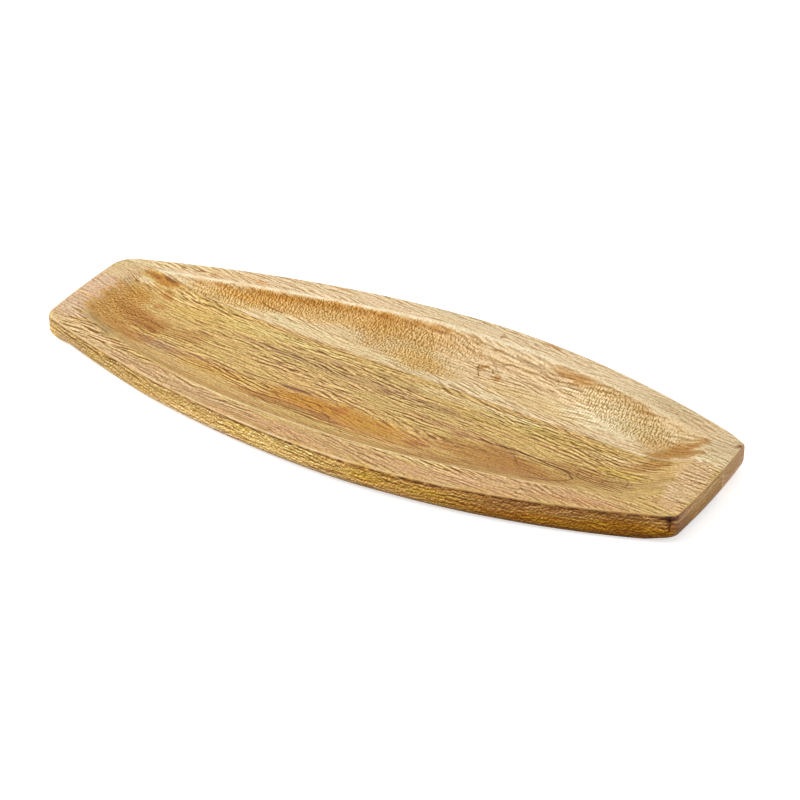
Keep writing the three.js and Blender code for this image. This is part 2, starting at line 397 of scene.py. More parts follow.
skin = platterSkin()
boardFace = seam["film"] / 2 + seam["clearance"]
farBoard = cutBoard("paleBoard", skin, boardFace, None)
nearBoard = cutBoard("brownBoard", skin, None, -boardFace)
glueLine = cutBoard("glueHairline", skin, -seam["film"] / 2, seam["film"] / 2)
bpy.data.meshes.remove(skin)
for piece, node, slot in (
    (farBoard, "far_board", "pale_board"),
    (nearBoard, "near_board", "brown_board"),
    (glueLine, "glue_line", "glue"),
):
    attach(piece, "root")
    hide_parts(node)
    print(piece.name, len(piece.data.polygons), "faces")


def fromHex(code):
    # sRGB hex to three sRGB shares
    return np.array([int(code[i : i + 2], 16) / 255 for i in (1, 3, 5)])


def toLinear(colour):
    # sRGB shares to linear light
    return np.where(colour <= 0.04045, colour / 12.92, ((colour + 0.055) / 1.055) ** 2.4)


def linear(code):
    # sRGB hex to an opaque colour for a shader socket
    return tuple(toLinear(fromHex(code))) + (1.0,)


# What each board shows, placed in millimetres. A patch is where its middle is, its half length and half
# width, its turn in degrees, its colour and how strongly it covers. Later ones lie over earlier ones.
# Flecked and calm areas are patches with a strength and no colour. A mark is a strength and a thin path.
farFigure = {
    "outward": 1,
    "base": "#e2caa0",
    "sideFleck": (0.2, 0.2),  # at the left end and at the right
    "grain": 0.055,  # slope of the fibres, down to the right
}
farFigure["patches"] = [
    (-70, 74, 170, 14, 9, "#e7cea6", 0.9),
    (90, 74, 130, 12, -10, "#e5d0a9", 0.9),
    (-190, 52, 40, 7, 14, "#e8d2a0", 0.8),
    (-150, 58, 22, 5, 14, "#e9c690", 0.5),
    (-118, 48, 58, 6.5, 13, "#e2b873", 0.9),
    (-105, 52, 45, 4, 13, "#d8a65a", 0.6),
    (-70, 55, 45, 8, 10, "#e2bc80", 0.8),
    (-80, 60, 44, 3, 11, "#d09c50", 0.7),
    (-40, 60, 26, 9, 6, "#deb676", 0.8),
    (-30, 64, 16, 7, 0, "#ca984f", 0.7),
    (-32, 52, 12, 8, 60, "#dab272", 0.6),
    (-5, 62, 30, 10, 0, "#dcb577", 0.7),
    (2, 42, 24, 11, -8, "#e2c07e", 0.8),
    (8, 41, 13, 8, -20, "#ddb676", 0.5),
    (25, 61, 20, 10, -10, "#dfc08c", 0.55),
    (-78, 39, 42, 5.5, -4, "#e8d5a8", 0.9),
    (-30, 34, 25, 3.5, -4, "#e5d3a0", 0.6),
    (50, 30, 26, 4, -6, "#ead8ae", 0.7),
    (22, 37, 16, 5, -8, "#d9b87c", 0.5),
    (-140, 40, 30, 3.5, 2, "#e2c58c", 0.8),
    (60, 52, 46, 14, -8, "#e8cca0", 0.85),
    (95, 34, 45, 9, -6, "#e0c690", 0.8),
    (90, 57, 40, 6, -12, "#ead0a4", 0.6),
    (114, 60, 30, 3.6, -11, "#b88848", 0.75),
    (146, 52, 22, 3.2, -17, "#bb8e50", 0.65),
    (118, 40, 16, 11, 0, "#dfca9e", 0.8),
    (135, 50, 26, 8, -18, "#e3cda0", 0.7),
    (140, 34, 30, 11, -10, "#ecdbb4", 0.85),
    (165, 36, 20, 9, -20, "#dcc28c", 0.6),
    (189, 21, 20, 8.5, 40, "#af8141", 0.9),
    (174, 27, 12, 6, 0, "#bd8f4e", 0.35),
    (200, 21, 6, 6, 0, "#a87838", 0.6),
    (200, 31, 6, 5, 40, "#a87034", 0.4),
    (190, 36, 10, 4, -30, "#d3b887", 0.6),
    (215, 30, 11, 16, 0, "#d9c49b", 0.95),
    (215, 16, 12, 4, 0, "#e9d9ae", 0.8),
    (178, 54, 30, 7, -20, "#d5bd91", 0.8),
    (-126, 60, 5, 3, 0, "#d89a55", 0.5),
    (76, 84, 7, 2, -8, "#b78244", 0.8),
    (44, 79, 1.2, 3, 0, "#8c5a2a", 0.8),
    (-168, 53, 2.5, 1.6, 30, "#9a6a33", 0.8),
    (-178, 51, 1.5, 3, 0, "#a97c48", 0.7),
    (-158, 52, 3, 1.5, -20, "#b78a55", 0.6),
    (57, 47, 3, 3.5, 0, "#b07a38", 0.7),
    (43, 54, 4, 1.4, 40, "#a66f30", 0.8),
    (223.5, 38.5, 2.2, 1.6, 0, "#7a4a22", 0.9),
]
farFigure["flecked"] = [
    (-100, 52, 75, 9, 12, 1.0),
    (-20, 55, 40, 18, 0, 1.0),
    (5, 42, 30, 14, 0, 0.9),
    (150, 42, 45, 14, -20, 0.9),
    (20, 62, 25, 10, 0, 0.7),
]
farFigure["calm"] = [
    (-20, 76, 260, 9, 0, 0.3),
    (-100, 52, 75, 9, 12, 0.9),
    (-20, 55, 40, 18, 0, 0.9),
    (5, 42, 30, 14, 0, 0.8),
    (150, 42, 45, 14, -20, 0.5),
    (190, 22, 20, 10, 40, 0.7),
    (150, 62, 100, 11, -19, 0.5),
    (213, 30, 12, 18, 0, 0.5),
]
farFigure["marks"] = [
    (0.8, (40, 54), (41.5, 50), (45, 45)),
    (0.6, (52, 59.5), (60, 61.5), (68, 61)),
    (0.5, (68, 61), (85, 58), (110, 49)),
    (0.45, (46, 60), (52, 55), (58, 49)),
    (1.0, (50.6, 52.4), (51.6, 51.6)),
    (0.3, (38, 52), (50, 49), (57, 44)),
    (0.7, (-116, 47.5), (-108, 45.8), (-101, 45.6)),
    (0.25, (90, 68), (120, 62.5), (150, 54), (172, 47)),
    (0.5, (20, 66), (60, 57), (100, 46)),
    (0.5, (30, 71), (70, 64), (115, 53)),
    (0.4, (60, 68), (90, 62), (120, 53)),
    (0.4, (60, 48), (90, 45), (118, 38)),
]
nearFigure = {
    "outward": -1,
    "base": "#d0ae70",
    "sideFleck": (0.7, 1.0),
    "grain": 0.07,
}
nearFigure["patches"] = [
    (-214, 0, 14, 60, 0, "#d3b497", 1.0),
    (-190, -50, 50, 9, -15, "#d6b488", 0.9),
    (-216, 30, 10, 14, 0, "#dabf90", 0.7),
    (-202, -6, 6, 22, 0, "#be8f4c", 0.85),
    (-196, 13, 15, 12, 30, "#cda160", 0.6),
    (-190, -8, 24, 16, 0, "#c69a56", 0.85),
    (-192, 15, 9, 8, 40, "#c08a40", 0.6),
    (-197, 31, 7, 3, 10, "#e9d9b0", 0.8),
    (-184, 36.5, 16, 3, 2, "#b37b33", 0.9),
    (-176, 28, 5, 3, 0, "#b67a34", 0.8),
    (-175, 15, 4, 3.5, 0, "#b57b42", 0.6),
    (-212, -21, 1.2, 0.8, 0, "#8a5c36", 0.8),
    (-201, 27, 1.2, 0.8, 0, "#8a5c36", 0.8),
    (-175, -3, 23, 8.5, -12, "#b17d42", 0.85),
    (-164, -9, 8, 5, -20, "#a86c2a", 0.5),
    (-182, -22, 14, 8, -20, "#b78443", 0.7),
    (-188, -36, 22, 7, -28, "#b3946b", 0.5),
    (-150, -24, 15, 6, -8, "#a8896c", 0.6),
    (-120, 20, 52, 11, -4, "#d8ba74", 0.8),
    (-150, 18, 24, 8, -5, "#d2b268", 0.6),
    (-70, 21, 50, 6, -4, "#dfc686", 0.75),
    (-20, 0, 90, 22, -5, "#c9a872", 0.5),
    (-60, 6, 60, 3, -6, "#ab8560", 0.5),
    (-165, 30, 12, 6, 0, "#dfc288", 0.7),
    (-140, -6, 14, 8, 0, "#b4864c", 0.6),
    (-168, -24, 12, 7, 0, "#b27c3c", 0.6),
    (105, 8.5, 75, 5.5, -4.5, "#e0ca9e", 0.95),
    (42, 14, 28, 4.5, -4, "#dcc595", 0.75),
    (20, 2, 50, 3, -6, "#a98262", 0.45),
    (70, -16, 50, 3.5, -5, "#b0855a", 0.5),
    (90, 4, 70, 8, -4, "#cbab68", 0.7),
    (130, 8, 40, 5, -2, "#bd9c4c", 0.6),
    (-110, -27, 50, 4, -3, "#b58b5f", 0.6),
    (-100, -32, 30, 6, -3, "#c9984b", 0.6),
    (-6, -37, 56, 10, -3, "#c48d3f", 0.85),
    (-32, -34, 30, 6, -2, "#bc8030", 0.55),
    (-58, -43, 20, 5, -3, "#b47c34", 0.65),
    (-40, -45, 44, 3.2, -2, "#a47240", 0.5),
    (-14, -44, 6, 2.5, 0, "#8f5c2e", 0.5),
    (-8, -33, 8, 4, 0, "#b3733a", 0.6),
    (50, -42, 8, 4, 10, "#ae7040", 0.7),
    (20, -48, 60, 4, 3, "#b98640", 0.5),
    (-60, -57, 90, 3.5, -6, "#c29457", 0.6),
    (30, -59, 60, 5, 6, "#c49a5c", 0.6),
    (100, -34, 46, 12, -2, "#b48648", 0.95),
    (100, -24, 20, 4, -15, "#a87443", 0.6),
    (118, -34, 26, 7, -4, "#af7c3e", 0.7),
    (95, -47, 60, 6, 12, "#b2854c", 0.8),
    (170, -10, 18, 3.5, -6, "#c4a043", 0.45),
    (152, -22, 26, 9, -6, "#ad834a", 0.8),
    (175, -20, 12, 5, -20, "#b08d55", 0.6),
    (184, 9, 18, 8, 45, "#b08242", 0.85),
    (197, -18, 10, 12, 40, "#b7965d", 0.8),
    (200, 6, 7, 8, 0, "#d3b183", 0.7),
    (214, -12, 10, 34, 0, "#d9b58c", 0.95),
    (206, -22, 2, 18, 6, "#dfb893", 0.7),
    (-100, -72, 90, 8, -10, "#c7a37a", 0.9),
    (-45, -84, 60, 4, -2, "#b98f5a", 0.8),
    (75, -81, 50, 4, 5, "#b88c5c", 0.7),
    (20, -81, 90, 8, 0, "#cca577", 0.95),
    (130, -66, 70, 9, 13, "#d1a97e", 0.95),
    (-20, -68, 110, 2.4, -2, "#e2c593", 0.8),
    (160, -62, 24, 3, 14, "#c58f60", 0.5),
    (-70, -4, 3, 1.4, 0, "#8d6247", 0.8),
    (-46, -25.5, 12, 1.6, 0, "#8b5d42", 0.8),
    (-66, 8, 4, 3, 30, "#9c7556", 0.6),
    (-38, 13, 7, 2, 0, "#a27c5c", 0.5),
    (-4, 15, 5, 2.5, -10, "#a07a58", 0.5),
    (18, 10, 7, 2.5, 0, "#a37b5d", 0.5),
    (4, 0, 5, 2, 0, "#97714f", 0.6),
    (50, 0, 8, 3, 0, "#a67e52", 0.5),
    (66, -20, 6, 2, 0, "#9e6b45", 0.6),
]
nearFigure["flecked"] = [
    (-190, 0, 22, 25, 0, 0.8),
    (214, -10, 12, 40, 0, 0.45),
]
nearFigure["calm"] = [
    (0, -86, 260, 14, 0, 0.45),
    (-216, 0, 14, 60, 0, 0.85),
    (-140, 0, 60, 30, 0, 0.25),
    (-190, 0, 24, 34, 0, 1.0),
    (-6, -38, 62, 12, 0, 0.5),
    (105, -34, 46, 13, 0, 0.8),
    (-60, -52, 100, 9, -8, 0.7),
    (206, -8, 20, 36, 0, 0.65),
    (150, -64, 80, 12, 14, 0.45),
    (-188, 34, 20, 6, 0, 0.75),
    (80, -54, 90, 8, 6, 0.4),
]
nearFigure["marks"] = [
    (0.7, (-148, 36.6), (-140, 33.5), (-130, 30.8), (-126, 30.5)),
    (0.6, (-196, 28), (-190, 27)),
    (0.9, (88, -18.5), (105, -18), (120, -19.5), (135, -22), (143, -24.5), (147.5, -28.5)),
    (0.8, (147.5, -28.5), (145, -33), (138, -39), (122, -43)),
    (0.5, (60, -31), (80, -28.5), (98, -28.5)),
    (0.5, (104, -22), (112, -30), (120, -32)),
    (0.5, (148, -4.5), (154, -1.5), (160, 2), (164, 7), (167.5, 13)),
    (0.5, (165, -16), (170, -13.5), (175, -13.2), (179, -17), (179, -22)),
    (0.4, (168, -20), (172, -17.5), (175.5, -18.5)),
    (0.6, (132, -7.5), (142, -8.5), (156, -7.5)),
    (0.6, (134, 3), (141, 4), (146, 6.5)),
    (0.5, (-188, -4), (-178, -1.5), (-168, -2.5), (-158, -6.5), (-156, -10)),
    (0.5, (-186, -9), (-176, -6.5), (-166, -8.5), (-160, -12)),
    (0.5, (-184, -14), (-176, -12), (-168, -14.5)),
    (0.6, (-60, -40.5), (-36, -42), (-12, -42.5)),
    (0.6, (-64, -46), (-40, -47), (-18, -46.5)),
    (0.7, (-84, -24), (-58, -24.5), (-36, -25)),
    (0.6, (40, -27.5), (64, -29), (88, -27.5)),
    (1.0, (219.5, -49.6), (219.1, -48.1)),
]
print("figure laid out")


def readPoints(board):
    # positions in millimetres, unit normals, and the distance from the hollow's edge
    count = len(board.vertices)
    points, normals, away = np.empty(count * 3), np.empty(count * 3), np.empty(count)
    board.vertices.foreach_get("co", points)
    board.vertex_normals.foreach_get("vector", normals)
    board.attributes["fromHollow"].data.foreach_get("value", away)
    return points.reshape(-1, 3) / mm, normals.reshape(-1, 3), away


# How the figure is softened: distances and sizes of soft noises in millimetres
brush = {
    "soft": (0.55, 1.3),  # an ellipse fades out between these shares of its half widths
    "offMark": 50.0,  # a distance from a mark at which it can't show
    "endHalf": 45,  # half width at which the fibres turn along an end
    "sideFibre": 60,  # the one fibre that the sides show
    "wave": 40, "waveFine": 12, "ragged": 16, "raggedFine": 4, "wobble": 9,
    "fullPatch": 8,  # a patch narrower than this is less ragged
    "chatter": (116, 45, 24, 17, 0),  # where the sander ripples show, as an ellipse
    "fullCalm": 1.3,
}


def ellipseShare(flat, x, y, halfAlong, halfAcross, turn):
    # 1 in the middle of a turned ellipse, with a soft edge
    angle = np.radians(turn)
    dx, dy = flat[:, 0] - x, flat[:, 1] - y
    along = (dx * np.cos(angle) + dy * np.sin(angle)) / halfAlong
    across = (dy * np.cos(angle) - dx * np.sin(angle)) / halfAcross
    return 1 - smooth(*brush["soft"], np.hypot(along, across))


def nearestMark(flat, rows):
    # for each point the offset across the nearest path, the distance to it and the path's strength
    across = nearest = np.full(len(flat), brush["offMark"])
    strengths = np.zeros(len(flat))
    for strength, *path in rows:
        for (x0, y0), (x1, y1) in zip(path[:-1], path[1:]):
            step = np.array([x1 - x0, y1 - y0])
            offset = flat - np.array([x0, y0])
            share = np.clip(offset @ step / (step @ step), 0, 1)
            distance = np.linalg.norm(offset - share[:, None] * step, axis=1)
            sideways = (offset[:, 1] * step[0] - offset[:, 0] * step[1]) / np.linalg.norm(step)
            closer = distance < nearest
            across = np.where(closer, sideways, across)
            strengths = np.where(closer, strength, strengths)
            nearest = np.minimum(nearest, distance)
    return across, nearest, strengths


def strongest(flat, rows):
    # the strongest of several patches at each point
    share = np.zeros(len(flat))
    for x, y, halfAlong, halfAcross, turn, strength in rows:
        share = np.maximum(share, ellipseShare(flat, x, y, halfAlong, halfAcross, turn) * strength)
    return share


def isOuter(away):
    # true outside and on the outer part of the rim, false further in
    return away < hollow["rimOuter"]


def sideShare(normals, away):
    # 1 on the outer sides and ends, fading to 0 where the normal points up or down
    ofSide = 1 - smooth(0.35, 0.8, normals[:, 2])
    return ofSide * (1 - smooth(0.85, 0.98, -normals[:, 2])) * isOuter(away)


def uneven(points, size, seed, level, swing=1.0, top=1.0):
    # a level that soft noise swings up and down, kept between 0 and the top
    return np.clip(level + softNoise(points, size, seed) * swing, 0, top)


def blendTo(colour, code, share):
    # moves each colour towards another by its own share
    return colour + (fromHex(code) - colour) * share[:, None]


def layered(colour, layers):
    # colours laid over each other in turn, each by its own share
    for code, share in layers:
        colour = blendTo(colour, code, share)
    return colour


def paint(board, figure, colourOutside, seed):
    # Writes the board's own figure into point attributes: its colour, with the highlights and shade that are
    # painted on its edges, the run of its fibres, where the marks are, and where it is flecked, calm or
    # chattered. The shader adds the pores and the fine grain.
    points, normals, away = readPoints(board)
    x, y, z = points.T
    flat = points[:, :2]
    outer, onSide = isOuter(away), sideShare(normals, away)
    outward = figure["outward"]
    # outside, the run of the fibres follows the edge, down the side and round the corner along the end
    onEndFace = outer * smooth(0.55, 0.85, np.abs(normals[:, 0]))
    beyond = onEndFace * (brush["endHalf"] - outward * y)
    across = y + figure["grain"] * x
    across += onSide * (outward * brush["sideFibre"] - across)
    across += outer * outward * (platter["thickness"] - z)
    fibre = np.stack([x + np.sign(x) * beyond, across, np.zeros(len(points))], 1)
    wavy = softNoise(flat * [0.25, 1], brush["wave"], seed) * 1.6
    fibre[:, 1] += wavy + softNoise(flat * [0.3, 1], brush["waveFine"], seed + 1) * 0.4
    # the patches' edges run out ragged along the fibres
    size, fine = brush["ragged"], brush["raggedFine"]
    ragged = np.stack([softNoise(flat, size, seed + 2) * 2.5, softNoise(flat, size, seed + 3) * 1.2], 1)
    ragged[:, 0] += softNoise(fibre[:, :2] * [0.05, 1], fine, seed + 7) * 6
    ragged[:, 1] += softNoise(fibre[:, :2] * [0.12, 1], fine, seed + 4) * 0.9
    colour = np.tile(fromHex(figure["base"]), (len(points), 1))
    depth = 0.4 + 0.6 * smooth(3, 8, z)
    for *place, halfAlong, halfAcross, turn, code, strength in figure["patches"]:
        shift = ragged * min(1, halfAcross / brush["fullPatch"])
        share = ellipseShare(flat + shift, *place, halfAlong, halfAcross, turn) * strength * depth
        colour = blendTo(colour, code, share)
    colour = colourOutside(points, normals, colour, away)
    rightward = smooth(-110, 150, x)
    left, right = figure["sideFleck"]
    sideFleck = onSide * (1 - 0.8 * onEndFace) * (left + (right - left) * rightward)
    flecked = np.maximum(strongest(flat + ragged, figure["flecked"]), sideFleck)
    # the grain is rubbed out on the worn edges, some of them with a painted highlight, and where the lower
    # edge rolls under, and fainter on the side
    wornAndHighlit = bell(away, -0.3, 1.3) + smooth(18.4, 18.9, z) * (1 - smooth(0.95, 0.995, normals[:, 2])) * outer
    rolled = outer * smooth(0.8, 0.88, -normals[:, 2]) * (1 - smooth(0.96, 0.995, -normals[:, 2]))
    calm = strongest(flat + ragged, figure["calm"]) * (1 - onSide)
    calm = calm + (wornAndHighlit + rolled) * 1.2 + onEndFace * 0.25 + onSide * (0.2 + 0.25 * rightward)
    calm = np.clip(calm, 0, brush["fullCalm"])
    flecked *= 1 - np.clip(wornAndHighlit, 0, 1)
    chatter = ellipseShare(flat + ragged, *brush["chatter"]) * (z > 8)
    wobble = np.stack([softNoise(flat, brush["wobble"], seed + more) for more in (5, 6)], 1) * 0.5
    beside, distance, strengths = nearestMark(flat + wobble, figure["marks"])
    # no mark comes through to the underside, and the split at the near right corner stays off the rim
    distance[(z < 8) | ((z > 19) & (x > 214) & (y < -43))] = brush["offMark"]

    def store(name, kind, field, values):
        layer = board.attributes.new(name, kind, "POINT")
        layer.data.foreach_set(field, values.astype(np.float32).ravel())

    colour = np.column_stack([toLinear(np.clip(colour, 0, 1)), np.ones(len(points))])
    # the wood's colour together with the painted highlights and shade on its edges
    store("stainAndPaintedLight", "FLOAT_COLOR", "color", colour)
    store("fibre", "FLOAT_VECTOR", "vector", fibre)
    store("marks", "FLOAT_VECTOR", "vector", np.column_stack([beside, distance, strengths]))
    store("texture", "FLOAT_VECTOR", "vector", np.column_stack([flecked, calm, chatter]))


def seamDistance(points):
    # across the seam, in millimetres, positive on the far board
    angle = seam["angle"]
    return (points[:, 1] - seam["atRightEnd"]) * np.cos(angle) - (points[:, 0] - halfLength) * np.sin(angle)


def farOutside(points, normals, colour, away):
    # The far side shows edge grain and the right end darker end grain. The hollow's edge is pale, partly
    # worn and partly a painted highlight, with an amber line under it on the left half, and the board is
    # paler along the seam.
    x, _, z = points.T
    below = bell(away, 3.2, 1.8) * smooth(-180, -150, x) * (1 - smooth(-10, 40, x))
    # the hollow's edge painted pale: partly wear, partly a painted highlight
    wornAndHighlit = bell(away, -0.3, 1.2) * uneven(points, 9, 79, 0.8, 0.7)
    shown = 0.95 - 0.5 * smooth(20, 130, x) - 0.3 * smooth(160, 190, x)
    alongSeam = bell(seamDistance(points), 0.9, 0.7) * smooth(30, 60, x)
    return layered(colour, [
        ("#d3ac72", sideShare(normals, away) * 0.9),
        ("#bb915f", smooth(0.6, 0.85, normals[:, 0]) * isOuter(away) * 0.95),
        ("#b57f37", below * uneven(points, 11, 78, 0.5, 0.6, 0.8)),
        ("#faeed2", wornAndHighlit * shown),
        ("#f4e6c4", alongSeam * 0.7 * (z > 8)),
    ])


def nearOutside(points, normals, colour, away):
    # The near side runs from golden yellow at the left to oily dark brown at the right, with painted shade
    # along its rolled-under lower edge. Its top edge is pale, partly worn and partly a painted highlight,
    # with a dark line under it. The hollow's edge is pale the same way, with painted shade on the wall just
    # inside it.
    # The right end's face has painted shade at its rolled-under foot and a painted highlight as a pale band,
    # and a dark split runs down at its near corner.
    x, y, z = points.T
    outer, onSide = isOuter(away), sideShare(normals, away)
    rightward = smooth(-30, 150, x + softNoise(points, 60, 71) * 18)
    blotch = softNoise(points * [0.3, 1, 1], 14, 72) * 1.4
    lower = 1 - smooth(4, 9, z + softNoise(points * [0.4, 1, 0], 30, 75) * 2)
    upper = smooth(8, 14, z + softNoise(points * [0.4, 1, 0], 30, 74) * 3)
    # painted shade along the rolled-under lower edge of the near side, stronger towards the right
    lowerEdgeShade = 0.12 + 0.35 * smooth(-120, 0, x) + 0.18 * rightward
    side = layered(np.tile(fromHex("#e0be7a"), (len(points), 1)), [
        ("#a6701c", rightward),
        ("#bd9a64", smooth(-218, -205, x) * (1 - smooth(-190, -120, x))),
        ("#8c570e", smooth(165, 205, x) * 0.45),
        ("#94601f", np.clip(blotch - 0.1, 0, 1) * (0.1 + 0.2 * rightward)),
        ("#d9ab3c", np.clip(-blotch - 0.1, 0, 1) * 0.5),
        ("#d8b98e", lower * (1 - rightward) * smooth(-190, -150, x) * 0.8),
        ("#4e2d0c", (1 - smooth(2, 8, z)) * lowerEdgeShade),
        ("#aa7e4e", upper * 0.8 * smooth(20, 140, x)),
        ("#bf9b5e", upper * 0.75 * (1 - smooth(-90, -20, x))),
    ])
    colour = colour + (side - colour) * onSide[:, None]
    endFace = smooth(0.6, 0.85, normals[:, 0]) * outer
    leftEnd = smooth(0.5, 0.85, -normals[:, 0]) * outer
    split = bell(z, 18, 1.3) * smooth(212, 216, x) * smooth(42, 44.5, -y) * onSide
    split += bell(x, 218.8, 1.5) * smooth(11, 16, z) * onSide * (y < 0)
    onNearEdge = smooth(10, 30, -y) * (1 - smooth(150, 185, x)) * smooth(-150, -40, x)
    # how strongly the hollow's near edge is painted pale, partly as wear and partly as a painted highlight
    wornAndHighlitShare = 0.2 * smooth(-50, 100, x) * (1 - smooth(170, 195, x)) + 0.65 * onNearEdge
    # the rounded top edge is painted pale: partly wear, partly a painted highlight
    arris = smooth(18.9, 19.3, z) * smooth(0.02, 0.2, 1 - normals[:, 2]) * outer
    shown = 0.7 - 0.5 * smooth(40, 150, x) - 0.35 * (1 - smooth(-190, -90, x))
    shown *= uneven(points, 12, 76, 0.75, 0.8)
    line = bell(z, 18.2, 0.7) * outer * smooth(0.3, 0.7, -normals[:, 1]) * uneven(points, 9, 77, 0.75)
    return layered(colour, [
        ("#aa7d46", endFace * 0.95),
        ("#7c4e22", endFace * smooth(22, 42, -y) * 0.8),
        # painted shade on the end's rolled-under foot
        ("#4d2f14", endFace * (1 - smooth(1.5, 8, z)) * 0.9),
        # painted highlight: a pale band across the upper part of the end's face
        ("#d4b68a", endFace * bell(z, 16, 2.5) * 0.5),
        ("#dcbc8c", leftEnd * 0.9),
        ("#3a1c0a", np.clip(split, 0, 1) * uneven(points, 4, 73, 0.85)),
        # painted shade on the near wall, just inside the hollow's edge
        ("#b98b4a", bell(away, 4, 2.6) * onNearEdge * 0.5),
        ("#f6e2bc", bell(away, -0.2, 1.2) * wornAndHighlitShare),
        ("#efd9c0", arris * shown * (1 - 0.6 * endFace)),
        ("#5a3216", line * (0.45 + 0.4 * smooth(-150, 40, x))),
    ])


paint(farBoard.data, farFigure, farOutside, 11)
paint(nearBoard.data, nearFigure, nearOutside, 31)
print("figure painted")


def addNode(tree, kind, inputs=None, **settings):
    # One shader node: its settings, then its inputs by name or number, each linked from an output or set to
    # a value. It gives back the node's outputs. A colour mix has its two colours at 6 and 7.
    node = tree.nodes.new("ShaderNode" + kind)
    for key, value in settings.items():
        setattr(node, key, value)
    for key, value in (inputs or {}).items():
        if isinstance(value, bpy.types.NodeSocket):
            tree.links.new(value, node.inputs[key])
        else:
            node.inputs[key].default_value = value
    return node.outputs


# Mango wood, planed, sanded by hand and oiled. Its open vessels show as dark dashes along the fibres, and
# the oil leaves a low, uneven sheen, but end grain drinks it and stays dull. Lengths and widths in
# millimetres. The dashes, about three times as wide as real vessels (0.3 mm), and the flecks and pepper, for
# cut rays and sanded pores, are drawn that coarse to show at this distance as in the photograph.
grain = {
    "dash": (12.5, 1.75), "pore": (3.2, 1.2), "band": (90.0, 3.4), "hue": (55, 5), "fleck": (1.5, 1.3),
    "pepper": (1.5, 1.25), "pepperTurn": 35.0, "fuzz": (2.4, 1.1),
    "slanted": (45, 14),  # patches in which the dashes lie at a slant
    "lively": (34, 9),  # patches in which they are stronger
    "chatter": 0.157,  # gives sander ripples 2 mm apart
    "markColour": (0.34, 0.21, 0.10, 1), "chatterColour": (1.25, 1.28, 1.34, 1), "depth": 0.1,
}


